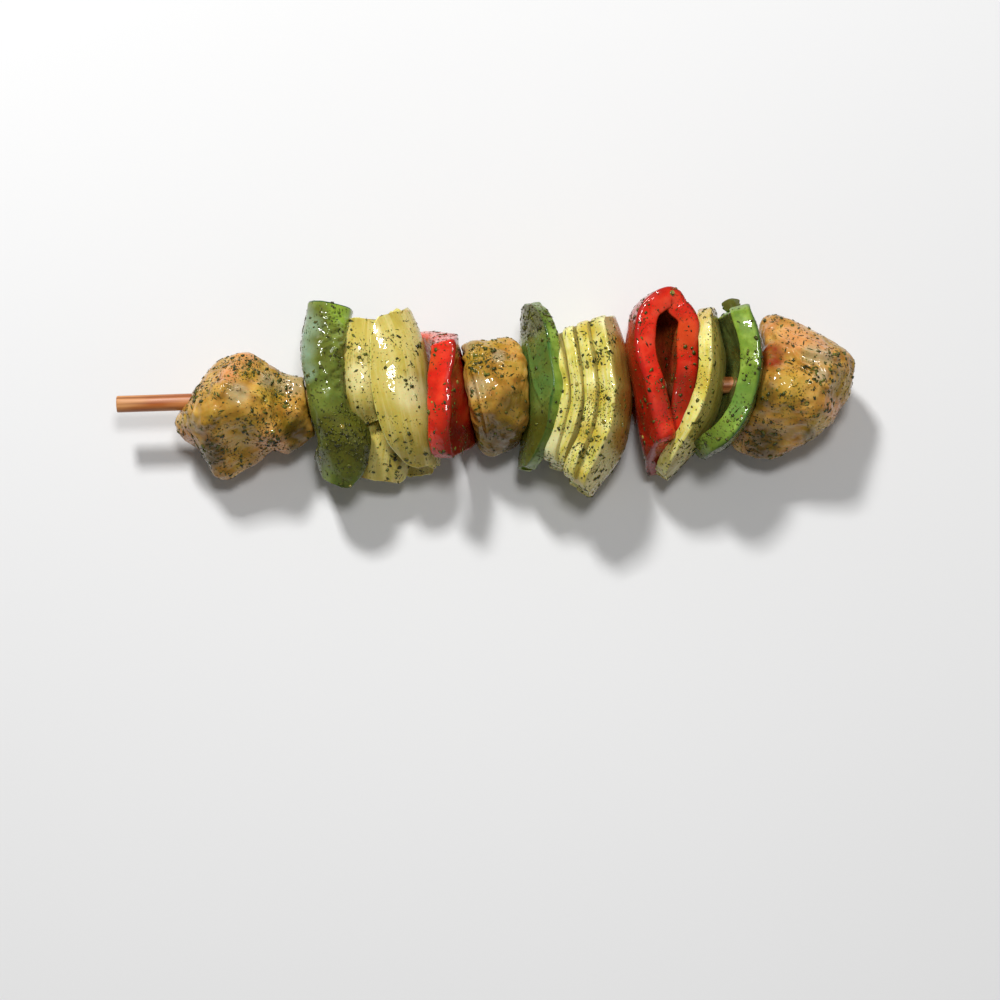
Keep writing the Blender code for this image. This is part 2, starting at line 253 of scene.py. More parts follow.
def wall_mesh(
    name,
    crest,
    span,
    wall,
    radius,
    facing,
    ends=(0.8, 0.8),
    rounding=0.2,
    skew=0.0,
    taper=ROUND_END,
    ragged=0.025,
):
    """A closed slice of pepper wall or onion layer, in the shape of its solid: a plate rolled across
    its width and bent along its crest, with outer face, inner face and cut rim as materials 0, 1, 2.

    The attribute grain holds millimetres across and along the slice, and 1 outside to -1 inside.
    """
    seed = sum(crest[0]) + wall
    shares = [0.7 * t + 0.3 * (0.5 - 0.5 * math.cos(math.pi * t)) for t in np.linspace(0, 1, ALONG_STEPS)]
    sides = [0.75 * v + 0.25 * 0.5 * math.sin(math.pi * v) for v in np.linspace(-0.5, 0.5, ACROSS_STEPS)]
    middle = np.zeros((ALONG_STEPS, ACROSS_STEPS, 3))
    grain = np.zeros((ALONG_STEPS, ACROSS_STEPS, 3))
    length = sum((Vector(b) - Vector(a)).length for a, b in zip(crest, crest[1:]))
    for i, t in enumerate(shares):
        ahead = through(crest, min(t + SLOPE_STEP, 1))
        behind = through(crest, max(t - SLOPE_STEP, 0))
        along = ((ahead - behind) * Vector((1, 1, 0))).normalized()
        side = UP.cross(along)
        look = math.radians(between(facing, t))
        out = side * math.cos(look) + UP * math.sin(look)
        up = UP * math.cos(look) - side * math.sin(look)
        top = through(crest, t)
        narrow = end_width(t, ends, rounding, taper)
        for j, v in enumerate(sides):
            wander = 1 + ragged * 2 * noise.noise((t * length / 7, math.copysign(3, v), seed)) * abs(2 * v)
            distance = (v * (span[0] + span[1]) + (span[1] - span[0]) / 2) * narrow * wander
            across, down = rolled(distance, between(radius, t))
            middle[i, j] = top + up * across - out * down - along * skew * v
            grain[i, j] = (distance, t * length, 0)
    run = np.gradient(middle, axis=0)
    rise = np.gradient(middle, axis=1)
    face = np.cross(rise, run)
    face /= np.linalg.norm(face, axis=2, keepdims=True)
    half = wall / 2
    low, high = ALONG_STEPS - 1, ACROSS_STEPS - 1
    border = (
        [(0, j) for j in range(high)]
        + [(i, high) for i in range(low)]
        + [(low, j) for j in range(high, 0, -1)]
        + [(i, 0) for i in range(low, 0, -1)]
    )
    points, grains, faces, slots = [], [], [], []
    for sign in (1, -1):
        points += list((middle + face * half * sign).reshape(-1, 3))
        grains += list((grain + (0, 0, sign)).reshape(-1, 3))
    count = ALONG_STEPS * ACROSS_STEPS
    for i in range(low):
        for j in range(high):
            a = i * ACROSS_STEPS + j
            quad = (a, a + 1, a + ACROSS_STEPS + 1, a + ACROSS_STEPS)
            faces += [quad, tuple(count + k for k in reversed(quad))]
            slots += [0, 1]
    rows = [[i * ACROSS_STEPS + j for i, j in border]]
    for step in range(1, RIM_STEPS):
        turn = math.pi * step / RIM_STEPS
        level = math.copysign(abs(math.cos(turn)) ** RIM_SQUARENESS, math.cos(turn))
        bulge = math.sin(turn) ** RIM_SQUARENESS * wall * RIM_BULGE
        row = []
        for i, j in border:
            away = np.zeros(3)
            if j in (0, high):
                away += rise[i, j] / np.linalg.norm(rise[i, j]) * (1 if j else -1)
            if i in (0, low):
                away += run[i, j] / np.linalg.norm(run[i, j]) * (1 if i else -1)
            away /= np.linalg.norm(away)
            row.append(len(points))
            points.append(middle[i, j] + face[i, j] * half * level + away * bulge)
            grains.append(grain[i, j] + (0, 0, level))
        rows.append(row)
    rows.append([count + k for k in rows[0]])
    for one, two in zip(rows, rows[1:]):
        for k in range(len(border)):
            following = (k + 1) % len(border)
            faces.append((one[following], one[k], two[k], two[following]))
            slots.append(2)
    mesh = bpy.data.meshes.new(name)
    mesh.from_pydata([from_stick(point) for point in points], [], faces)
    mesh.polygons.foreach_set("material_index", slots)
    attribute = mesh.attributes.new("grain", "FLOAT_VECTOR", "POINT")
    attribute.data.foreach_set("vector", np.array(grains, np.float32).ravel())
    mesh.update()
    return mesh


def raise_by(mesh, height):
    """Moves each point along its normal by height(place, grain) millimetres, both in millimetres,
    and eases what would stand above the food's top back to it."""
    grain = mesh.attributes.get("grain")
    top = cad_box[1][2]
    moved = []
    for vertex in mesh.vertices:
        here = (vertex.co - BARE_END) / MM
        own = grain.data[vertex.index].vector if grain else here
        place = vertex.co + vertex.normal * height(here, own) * MM
        if place.z > top:
            place.z = top + TOP_EASE * MM * (1 - math.exp((top - place.z) / (TOP_EASE * MM)))
        place.z = max(place.z, 0.1 * MM)
        moved.append(place)
    mesh.vertices.foreach_set("co", np.array(moved, np.float32).ravel())
    mesh.update()


def ridges(point):
    """Sharp-crested noise from 0 in the valleys to 1 on the crests."""
    return 1 - abs(noise.noise(Vector(point))) * 2


def paint(mesh, spots):
    """Gives the mesh a soft-edged attribute for each kind of spot: {kind: [(place, reach), ...]}, in
    stick millimetres along and across."""
    for kind, places in spots.items():
        values = []
        for vertex in mesh.vertices:
            here = (vertex.co - BARE_END) / MM
            share = 0.0
            for place, reach in places:
                away = sum((h - c) ** 2 for h, c in zip(here, place))
                share = max(share, math.exp(-((away / reach**2) ** 1.5)))
            values.append(share)
        mesh.attributes.new(kind, "FLOAT", "POINT").data.foreach_set("value", values)


def mixed(tree, share, colour, code):
    """The colour with a share of the hex value mixed in."""
    node = add(
        tree,
        "ShaderNodeMix",
        {"Factor": share, "A": colour, "B": linear(code)},
        data_type="RGBA",
    )
    return node.outputs["Result"]


def share_of(tree, value, low, high, most):
    """A value's share of the way from low to high, times most."""
    node = add(
        tree,
        "ShaderNodeMapRange",
        {"Value": value, "From Min": low, "From Max": high, "To Min": 0.0, "To Max": most},
    )
    return node.outputs[0]


def herb_specks(tree, place, colour, amount, cell=0.0009):
    """Mixes specks of dried herb, too fine for meshes, into a colour: about one for each cell, in
    metres, crowded by soft patches. Returns the colour."""
    warped = add(
        tree,
        "ShaderNodeMapping",
        {"Vector": place, "Rotation": (0.4, 0.7, 0.3), "Scale": (1.0, 0.6, 1.3)},
    )
    cells = add(
        tree,
        "ShaderNodeTexVoronoi",
        {"Vector": warped.outputs[0], "Scale": 1 / cell, "Randomness": 1.0},
    )
    patches = add(tree, "ShaderNodeTexNoise", {"Vector": place, "Scale": 130.0, "Detail": 2.0})
    size = share_of(tree, patches.outputs[0], 0.36, 0.7, 0.4)
    speck = add(tree, "ShaderNodeMath", {0: size, 1: cells.outputs["Distance"]}, operation="SUBTRACT")
    return mixed(tree, share_of(tree, speck.outputs[0], 0.0, 0.1, amount), colour, "#33360f")


def wet_food(
    name,
    tones,
    patch=0.007,
    grain_scale=None,
    vein=None,
    tints=(),
    specks=0.5,
    film=("#8a7418", 0.35),
    rough=(0.22, 0.45),
    bump=0.0001,
    coat=0.75,
    inner_light=0.12,
    edge=None,
):
    """A moist cut food under oily marinade: soft patches of three tones, veins along the grain where
    it has any, painted tints, an uneven film of yellow oil, faint bump and soft uneven gloss."""
    made, tree, shader = new_material(
        name,
        IOR=1.4,
        Specular_IOR_Level=0.12,
        Coat_Weight=coat,
        Coat_Roughness=0.05,
        Coat_IOR=1.42,
        Subsurface_Weight=inner_light,
        Subsurface_Scale=0.002,
    )
    place = add(tree, "ShaderNodeTexCoord").outputs["Object"]
    soft = add(
        tree,
        "ShaderNodeTexNoise",
        {"Vector": place, "Scale": 1 / patch, "Detail": 3.0, "Roughness": 0.5},
    )
    low, middle, high = tones
    ramp = [(0.32, low), (0.68, high), (0.5, middle)]
    colour = add(tree, "ShaderNodeValToRGB", {"Fac": soft.outputs[0]}, ramp=ramp).outputs[0]
    height = soft.outputs[0]
    own = add(tree, "ShaderNodeAttribute", attribute_name="grain").outputs["Vector"]
    if vein:
        stretched = add(tree, "ShaderNodeVectorMath", {0: own, 1: grain_scale}, operation="MULTIPLY")
        lines = add(
            tree,
            "ShaderNodeTexNoise",
            {"Vector": stretched.outputs[0], "Scale": 1.0, "Detail": 3.0, "Roughness": 0.6},
        )
        colour = mixed(tree, share_of(tree, lines.outputs[0], 0.44, 0.66, vein[1]), colour, vein[0])
        height = lines.outputs[0]
    if edge:
        level = add(tree, "ShaderNodeSeparateXYZ", {"Vector": own}).outputs["Z"]
        colour = mixed(tree, share_of(tree, level, edge[1], edge[2], 1.0), colour, edge[0])
    for kind, code, most in tints:
        painted = add(tree, "ShaderNodeAttribute", attribute_name=kind).outputs["Fac"]
        uneven = add(tree, "ShaderNodeMath", {0: painted, 1: soft.outputs[0]}, operation="MULTIPLY")
        spread = add(tree, "ShaderNodeMath", {0: painted, 1: uneven.outputs[0]}, operation="ADD")
        colour = mixed(tree, share_of(tree, spread.outputs[0], 0.15, 1.2, most), colour, code)
    oil = add(tree, "ShaderNodeTexNoise", {"Vector": place, "Scale": 110.0, "Detail": 4.0, "Roughness": 0.6})
    colour = mixed(tree, share_of(tree, oil.outputs[0], 0.45, 0.66, film[1]), colour, film[0])
    if specks:
        colour = herb_specks(tree, place, colour, specks)
    tree.links.new(colour, shader.inputs["Base Color"])
    gloss = add(tree, "ShaderNodeTexNoise", {"Vector": place, "Scale": 260.0, "Detail": 2.0})
    rougher = add(
        tree,
        "ShaderNodeMapRange",
        {
            "Value": gloss.outputs[0],
            "From Min": 0.35,
            "From Max": 0.65,
            "To Min": rough[0],
            "To Max": rough[1],
        },
    )
    tree.links.new(rougher.outputs[0], shader.inputs["Roughness"])
    raised = add(tree, "ShaderNodeBump", {"Height": height, "Strength": 0.5, "Distance": bump})
    tree.links.new(raised.outputs[0], shader.inputs["Normal"])
    liquid = add(tree, "ShaderNodeTexNoise", {"Vector": place, "Scale": 330.0, "Detail": 1.5})
    wet = add(tree, "ShaderNodeBump", {"Height": liquid.outputs[0], "Strength": 0.6, "Distance": 0.0006})
    tree.links.new(wet.outputs[0], shader.inputs["Coat Normal"])
    return made


green_skin = wet_food(
    "green pepper skin, waxy",
    ("#4a5620", "#66762e", "#828f42"),
    tints=(
        ("lime", "#8aa636", 0.9),
        # a painted bluish reflection of the bright surround on green_pepper_1's smooth left band
        ("bloom", "#8ea88c", 0.85),
        # a dark olive tint: marinade stain where the herbs gather, and painted shade on green_pepper_1's
        # lower bulge
        ("murk", "#47430f", 0.85),
        ("deep", "#527434", 0.85),
    ),
    specks=0.7,
    film=("#6a6a1e", 0.45),
)
green_inner = wet_food(
    "green pepper inner wall",
    ("#3c4420", "#566030", "#6e7a3c"),
    specks=0.35,
    bump=0.0002,
)
green_cut = wet_food(
    "green pepper cut wall",
    ("#627f28", "#7c9834", "#98b24c"),
    patch=0.004,
    # the dark tint on the cut: marinade stain, and painted shade low on the slices
    tints=(("murk", "#4a5a20", 0.7), ("deep", "#4c7a34", 0.6)),
    specks=0.4,
    film=("#6e7a1c", 0.3),
    edge=("#2f5220", 0.6, 0.95),
)

GREEN_PEPPERS = {
    "green_pepper_1": dict(
        crest=[
            (60.6, 24.6, 9),
            (58.6, 14, 13.5),
            (58.7, 2, 14.5),
            (60.4, -6.5, 13.5),
            (64.2, -14, 11.5),
            (64.4, -24.8, 3),
        ],
        span=(9, 28),
        wall=3.8,
        radius=(4.4, 4.1, 3.4, 3.6, 6, 5),
        facing=(92, 92, 95, 95, 88, 85),
        ends=(0.9, 0.05),
        rounding=0.34,
        taper=POINTED_END,
        ragged=0.05,
    ),
    "green_pepper_2": dict(
        crest=[(117, 23.5, 5), (116.1, 10, 4), (115.9, -6, 3), (114.4, -21.5, 0)],
        span=(15, 15),
        wall=3.8,
        radius=30,
        facing=(166, 165, 166, 168),
        ends=(0.2, 0.2),
        rounding=0.5,
    ),
    "green_pepper_3": dict(
        crest=[
            (173.9, 19.8, 1),
            (176.3, 10.5, 2),
            (176.1, 2, 2),
            (173.6, -6.5, 1),
            (169, -13.6, 0),
            (162.4, -17.4, -2),
        ],
        span=(15, 14),
        wall=6,
        radius=30,
        facing=-16,
        ends=(0.8, 0.7),
    ),
    "green_pepper_scrap": dict(
        crest=[(171.2, 21.4, 1.6), (173.2, 22.3, 2.4), (175.2, 22.2, 1.6)],
        span=(1.5, 1.4),
        wall=1.8,
        radius=6,
        facing=60,
        ends=(0.5, 0.6),
        ragged=0.15,
    ),
}
GREEN_TINTS = {
    "green_pepper_1": {
        "lime": [((65, 23), 5)],
        # painted reflection: the bluish sheen on the smooth left band of skin
        "bloom": [((54, 19), 4.5), ((53, 12), 4), ((54, 6), 3)],
        # marinade stain with herbs, and painted shade on the lower bulge
        "murk": [((66, -13), 9.5), ((60, -9), 4)],
    },
    "green_pepper_2": {
        "murk": [((117, 20), 6), ((119, -14), 8)],
        "deep": [((118.5, 8), 5), ((119, 0), 4)],
    },
    "green_pepper_3": {"murk": [((164, -16), 6)], "deep": [((174, -6), 6)]},
    "green_pepper_scrap": {"murk": [((173.5, 23), 4)]},
}


def pepper_relief(seed, crinkle=None, notch=None):
    """The relief of a pepper wall: broad waves in the skin, pebbly inside, grainy where it is cut.
    crinkle is the middle of the shrunken skin and its reach, and notch a line of three points where
    a second cut has left a thin raised lip, in stick millimetres."""

    def height(here, own):
        level = own.z
        rise = 0.45 * noise.noise(here / 8 + Vector((seed, 0, 0)))
        if level > 0.99:
            rise += 0.1 * noise.noise(here / 2.5)
            if crinkle:
                away = here - Vector(crinkle[0])
                near = math.exp(-((away.x / crinkle[1]) ** 2 + (away.y / crinkle[2]) ** 4))
                warp = 1.6 * noise.noise(here / 4)
                rise += near * (2.0 * ridges((own.x / 2.0 + warp, own.y / 8.0, seed)) ** 3 - 0.6)
            if notch:
                away = near_line(here, notch)
                rise += 0.45 * math.exp(-((away / 0.35) ** 2))
        elif level < -0.99:
            rise += 0.18 * noise.noise(here / 1.6)
        else:
            rise += 0.06 * noise.noise(here / 0.9)
        return rise

    return height


def near_line(here, line):
    """How far a point is, seen from above, from a line of points, in millimetres."""
    flat = Vector((here.x, here.y))
    best = 1e9
    for a, b in zip(line, line[1:]):
        a, b = Vector(a), Vector(b)
        t = max(0.0, min(1.0, (flat - a).dot(b - a) / (b - a).length_squared))
        best = min(best, (flat - a - (b - a) * t).length)
    return best


def show(name, mesh, slot_name, *materials):
    """A piece that stands for the CAD node of its name."""
    piece = mesh_object(name + "_piece", mesh, *materials)
    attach(piece, "root")
    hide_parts(name)
    return piece


CRINKLE = ((61.5, 12, 14), 3.6, 11)
NOTCH = [(115.4, 12), (116.2, 6.5), (117.5, 0), (119.4, -5.2), (122.8, -2)]
food = []
for seed, (name, shape) in enumerate(GREEN_PEPPERS.items()):
    slice_mesh = wall_mesh(name, **shape)
    crinkle = CRINKLE if name == "green_pepper_1" else None
    notch = NOTCH if name == "green_pepper_2" else None
    raise_by(slice_mesh, pepper_relief(seed * 7.3, crinkle, notch))
    paint(slice_mesh, GREEN_TINTS[name])
    food.append(show(name, slice_mesh, "green_pepper", green_skin, green_inner, green_cut))

# ---------------------------------------------------------------------------------------------
# Red pepper: a slice on its edge, and a long strip that doubles back over itself like a horseshoe.
# The skin is crimson and waxy, the cut bright red and the inner wall orange red and wet.
# ---------------------------------------------------------------------------------------------
# On the red slices the dark tint is painted shade, on their lower, deeper parts turned away from the light.
red_skin = wet_food(
    "red pepper skin, waxy",
    ("#7d0c06", "#a4140a", "#c02214"),
    tints=(("murk", "#5a0e0a", 0.7),),
    specks=0.3,
    film=("#7a2a10", 0.25),
)
red_inner = wet_food(
    "red pepper inner wall",
    ("#8a2c18", "#ac3a20", "#c95432"),
    tints=(("glow", "#d8652e", 0.8), ("murk", "#5c2414", 0.8)),
    specks=0.35,
    bump=0.0002,
)
red_cut = wet_food(
    "red pepper cut wall",
    ("#bc1c0e", "#da2816", "#ea4629"),
    patch=0.005,
    tints=(("glow", "#d2521e", 0.6), ("murk", "#7a1a0c", 0.8)),
    specks=0.25,
    film=("#a8401c", 0.2),
    edge=("#a3160e", 0.5, 0.95),
)

RED_PEPPERS = {
    "red_pepper_1": dict(
        crest=[(92.6, 15.6, 3), (94.4, 6, 4), (95.6, -3, 4), (96.2, -14, -1)],
        span=(16, 13),
        wall=7,
        radius=34,
        facing=(-6, 8, 14, 16),
        ends=(1, 0.9),
        skew=-7,
    ),
    "red_pepper_2": dict(
        crest=[
            (150.8, -19.3, 1),
            (148, -4, 3),
            (146, 9, 4),
            (147.6, 19, 4),
            (153.3, 23.4, 3),
            (157.8, 18.4, 1),
            (156.4, 8, -2),
            (154.2, -3.5, -4),
            (152, -12.5, -5),
        ],
        span=(13, 12.5),
        wall=6,
        radius=40,
        facing=(8, 4, 0, 0, -4, -18, -28, -28, -22),
        ends=(0.85, 0.6),
        rounding=0.12,
        skew=-7,
    ),
}
RED_TINTS = {
    # The dark spots on both red slices are painted shade on their lower, deeper parts.
    "red_pepper_1": {"glow": [((86, 18), 5), ((88, 8), 3)], "murk": [((95, -15), 6)]},
    "red_pepper_2": {"glow": [((159, 13), 5)], "murk": [((158, -3), 7), ((150, -21), 4)]},
}
for seed, (name, shape) in enumerate(RED_PEPPERS.items()):
    slice_mesh = wall_mesh(name, **shape)
    raise_by(slice_mesh, pepper_relief(31 + seed * 5.1))
    paint(slice_mesh, RED_TINTS[name])
    food.append(show(name, slice_mesh, "red_pepper", red_skin, red_inner, red_cut))

# ---------------------------------------------------------------------------------------------
# Onion: a wedge whose outer layer covers the right of the inner ones, a quarter of four nested
# layers cut across, and one long layer alone. Raw onion is pale and half clear, veined lengthwise,
# and the oil has stained it yellow.
# ---------------------------------------------------------------------------------------------
VEINS = (0.75, 0.05, 0.3)  # for each millimetre across, along and through a layer
onion_outer = wet_food(
    "onion layer, outer face",
    ("#a5923a", "#c0ae50", "#dccd7c"),
    patch=0.009,
    grain_scale=VEINS,
    vein=("#e6dc98", 0.45),
    # On onion_1_left the pale tint is a painted highlight, and on onion_2_outer's outer side the tan tint is
    # painted shade.
    tints=(("tan", "#a2762f", 0.75), ("pale", "#ece2a8", 0.6)),
    specks=0.35,
    film=("#a5902c", 0.5),
    inner_light=0.2,
)
onion_inner = wet_food(
    "onion layer, inner face",
    ("#958c38", "#b0a548", "#d0c670"),
    patch=0.009,
    grain_scale=VEINS,
    vein=("#dcd6a0", 0.4),
    tints=(("pale", "#dedcae", 0.6),),
    specks=0.35,
    film=("#a5902c", 0.4),
    inner_light=0.2,
)
onion_cut = wet_food(
    "onion layer, cut",
    ("#bdb446", "#dacf64", "#efe792"),
    patch=0.005,
    grain_scale=(0.4, 0.06, 2.2),
    vein=("#eae6b8", 0.5),
    tints=(("yellow", "#c0a52e", 0.7), ("tan", "#b08a48", 0.6), ("pale", "#e0e0b4", 0.6)),
    specks=0.35,
    film=("#b09c2c", 0.35),
    inner_light=0.2,
)

ONIONS = {
    "onion_1_left": dict(
        crest=[(68.6, 20.6, 6.5), (68, 10, 10.8), (68.4, -1, 10.6), (69.8, -7.4, 5.5)],
        span=(8, 19),
        wall=3.4,
        radius=(4.6, 4.2, 4.2, 4.6),
        facing=(105, 105, 110, 115),
        ends=(0.45, 0.45),
        rounding=0.45,
    ),
    "onion_1_right": dict(
        crest=[(77.6, 21.8, 8.5), (81.4, 11.5, 11), (83.1, 0, 11.5), (85.2, -10.5, 8.5), (86.9, -19.3, 0)],
        span=(21, 10.5),
        wall=3.4,
        radius=(9, 10, 10, 8, 6),
        facing=(58, 55, 52, 50, 45),
        ends=(0.2, 0.2),
        rounding=0.45,
    ),
    "onion_1_lower": dict(
        crest=[(73.6, -4, 1), (73.2, -13, 2), (71.6, -22.5, -4)],
        span=(11, 16),
        wall=3.4,
        radius=7.6,
        facing=92,
        ends=(0.5, 0.5),
        rounding=0.5,
    ),
    "onion_1_heart": dict(
        crest=[(82.5, -9, -9), (83.6, -15.5, -9.5), (84.2, -21.5, -11)],
        span=(4, 4),
        wall=2.6,
        radius=6,
        facing=80,
        ends=(0.6, 0.6),
        rounding=0.4,
    ),
    "onion_3": dict(
        crest=[(166.3, 20.5, 4), (168.5, 8, 5), (167, -4, 5), (161.6, -14.5, 3), (152.4, -24, -4)],
        span=(15, 12),
        wall=4.2,
        radius=32,
        facing=10,
        ends=(0.3, 0.2),
        rounding=0.5,
    ),
}
NESTED = {
    # name: (layer thickness, crest)
    "onion_2_inner": (4.4, [(125.4, 15, 0), (128.6, 6, 1), (129.5, -3, 1), (127.6, -12, 0), (123, -21, -1)]),
    "onion_2_second": (3.3, [(130, 17, 1), (132.9, 7, 2), (133.6, -3, 2), (131.5, -12, 1), (126, -22, -1)]),
    "onion_2_third": (3.5, [(133.8, 18, 2), (136.6, 8, 3), (137.3, -3, 3), (134.8, -15, 2), (128, -26, 0)]),
    "onion_2_outer": (4.8, [(138.2, 19, 3), (141.3, 8, 3), (141.9, -4, 3), (139, -17, 2), (130.6, -28, -1)]),
}
for name, (layer, crest) in NESTED.items():
    ONIONS[name] = dict(
        crest=crest,
        span=(16, 15),
        wall=layer,
        radius=35,
        facing=7,
        ends=(0.7, 0.6),
        rounding=0.3,
    )
GROOVE = [((132.5, 15), 3), ((134.5, 6), 3), ((134.6, -4), 3), ((131.5, -14), 4)]
ONION_TINTS = {
    # The pale spot on onion_1_left is a painted highlight on its bulge, which faces the light; the other
    # pale spots are lighter patches of the layers.
    "onion_1_left": {"pale": [((68, 4), 4)]},
    "onion_1_right": {"pale": [((83, -1), 5)]},
    "onion_1_heart": {"pale": [((84, -15), 5)]},
    "onion_2_inner": {"pale": [((122, -18), 5), ((121, 10), 4)]},
    "onion_2_outer": {
        "pale": [((139, 18), 4)],
        # painted shade: tan on the outer layer's outer side, which is turned from the light
        "tan": [((144, 4), 5), ((144, -5), 5), ((141, -16), 4)],
        "yellow": GROOVE + [((127, -25), 4)],
    },
    "onion_2_third": {"yellow": GROOVE},
    "onion_3": {"tan": [((165, 21), 5)], "yellow": [((164, 0), 4)]},
}


def onion_relief(seed):
    def height(here, own):
        rise = 0.35 * noise.noise(here / 9 + Vector((seed, 0, 0)))
        if abs(own.z) > 0.99:
            rise += 0.09 * noise.noise(Vector((own.x / 1.5, own.y / 14, seed)))
        else:
            rise += 0.05 * noise.noise(Vector((own.z * 1.6, own.y / 9, seed)))
        return rise

    return height


for seed, (name, shape) in enumerate(ONIONS.items()):
    layer_mesh = wall_mesh(name, **shape)
    raise_by(layer_mesh, onion_relief(seed * 3.7))
    paint(layer_mesh, ONION_TINTS.get(name, {}))
    food.append(show(name, layer_mesh, "onion", onion_outer, onion_inner, onion_cut))

# ---------------------------------------------------------------------------------------------
# Chicken: three chunks of raw breast cut with a knife, so their sides are facets with soft edges.
# The flesh is pink under ochre marinade, stringy along the muscle, with grey skins of membrane.
# ---------------------------------------------------------------------------------------------
FLESH_VOXEL = 0.42 * MM


def flesh_mesh(node):
    """A fine soft-edged copy of a chunk's solid."""
    bm = bmesh.new()
    bm.from_mesh(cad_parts[node].data)
    bmesh.ops.remove_doubles(bm, verts=bm.verts, dist=1e-5)
    mesh = bpy.data.meshes.new(node + "_fine")
    bm.to_mesh(mesh)
    bm.free()
    mesh.materials.clear()
    rough = bpy.data.objects.new("rough", mesh)
    bpy.context.scene.collection.objects.link(rough)
    fine = rough.modifiers.new("fine", "REMESH")
    fine.mode = "VOXEL"
    fine.voxel_size = FLESH_VOXEL
    soft = rough.modifiers.new("soft", "SMOOTH")
    soft.factor = 0.5
    soft.iterations = 14
    made = bpy.data.meshes.new_from_object(rough.evaluated_get(bpy.context.evaluated_depsgraph_get()))
    bpy.data.objects.remove(rough)
    return made


CHICKEN = {
    "chicken_1": dict(
        fibres=(0.9, 0.35, 0.2),
        seams=[[(39, 7.5), (43, 5), (47.4, 2.6)], [(31.5, 3.5), (36, 1.5), (41, -1)]],
        bumps=[
            ((29.6, 1.4), 2.3, 1.0),
            ((28.6, -4.8), 1.5, 0.7),
            ((24.9, -7.9), 1.5, 0.7),
            ((28, -11.2), 1.8, 0.6),
            ((20.4, -2.3), 1.5, 0.6),
            ((22.9, 1.9), 1.5, 0.6),
            ((49.5, -14), 1.6, 0.7),
            ((42, 1.5), 2.6, 0.6),
        ],
        tints={
            "pink": [((36.5, 11), 4), ((32.5, 5.5), 3), ((18, -11), 4), ((43, -15), 6)],
            "grey": [((50, 4.5), 4), ((35, 0.5), 3), ((43, 5), 2.5), ((47, 3.5), 2.5)],
            "yellow": [((43.5, 1), 4), ((37, 7), 3), ((20, -7), 3.5), ((37, -10), 5)],
            # dark: a herb clump and a dark lump, and painted shade low on the chunk
            "dark": [((26, -15), 4), ((50, -9), 4), ((49.5, -14), 1.8)],
        },
    ),
    "chicken_2": dict(
        fibres=(0.25, 0.95, 0.1),
        seams=[[(97, 9), (103, 11.5), (109, 10)], [(100.5, 4), (102.5, -5), (104, -13)]],
        bumps=[((104, 11), 1.6, 0.6), ((108.5, 8), 1.4, 0.6), ((105.5, 6), 1.4, 0.4)],
        tints={
            "grey": [((98, 14), 3.5), ((101.5, 0), 3.2), ((107.5, 9), 2)],
            "yellow": [((100, 9), 4), ((105, 13), 4)],
            # dark: painted shade over the lower half of chicken_2
            "dark": [((108, -14), 7), ((112, -5), 5), ((101, -14), 4)],
        },
    ),
    "chicken_3": dict(
        fibres=(0.8, -0.5, 0.1),
        seams=[
            [(184.6, 13), (192.7, 7.3), (201.3, 5.5)],
            [(189, 8), (191, 4.5), (194.4, 2.7), (198.2, -3)],
        ],
        bumps=[((193.5, -15), 1.7, 0.7), ((198, -8), 2.0, 0.6), ((200.5, 3), 1.5, 0.5), ((189, -5), 3, 0.4)],
        tints={
            "pink": [((190, 12), 5), ((197, 8.5), 4), ((200, -8), 3), ((182, 17), 4)],
            "grey": [((194.5, 6.5), 3), ((198, 5.7), 2.5), ((196.5, 0.5), 2.2)],
            "yellow": [((203, -2), 4), ((196, -13), 4), ((187, -3), 5)],
            # dark: a herb clump and a dark lump, and painted shade low on the chunk
            "dark": [((181, -17), 5), ((193.5, -15), 1.8), ((180, -4), 4)],
            # red: raw flesh in painted shade beside green_pepper_3
            "red": [((183, 6.5), 4.2)],
        },
    ),
}


def chunk_of(name, look, seed):
    mesh = flesh_mesh(name)
    grain = Vector(look["fibres"]).normalized()

    def height(here, own):
        stretched = here - grain * here.dot(grain) * 0.85
        rise = 0.6 * noise.noise(here / 7 + Vector((seed, 0, 0)))
        rise += 0.34 * noise.noise(here / 2.4 + Vector((0, seed, 0)))
        rise += 0.12 * noise.noise(stretched / 0.9)
        if here.z > 0:
            for line in look["seams"]:
                away = near_line(here, line)
                rise += 0.5 * math.exp(-((away / 0.55) ** 2)) - 0.45 * math.exp(-(((away - 1.5) / 0.8) ** 2))
            for place, reach, most in look["bumps"]:
                away = math.dist((here.x, here.y), place) / reach
                rise += most * math.exp(-(away**4))
        resting = min(1.0, max(0.0, (here.z + STICK_HEIGHT) / 2.5))
        return rise * resting - 0.1

    raise_by(mesh, height)
    paint(mesh, look["tints"])
    return mesh


STICK_HEIGHT = BARE_END.z / MM
chicken_flesh = wet_food(
    "raw chicken, marinated",
    ("#946422", "#bb893a", "#d4a856"),
    patch=0.005,
    tints=(
        ("yellow", "#b4942a", 0.55),
        ("pink", "#d6935a", 0.75),
        ("grey", "#b8a884", 0.7),
        # The dark tint is painted shade on the chunks' lower sides, and in places herb clumps and dark
        # lumps.
        ("dark", "#4a3c14", 0.8),
        # The red tint is raw flesh in painted shade, a deep red-brown hollow on chicken_3.
        ("red", "#842410", 0.95),
    ),
    specks=0.8,
    film=("#94781c", 0.6),
    rough=(0.25, 0.5),
    bump=0.0002,
    inner_light=0.2,
)
for seed, (name, look) in enumerate(CHICKEN.items()):
    food.append(show(name, chunk_of(name, look, seed * 11.3), "chicken", chicken_flesh))

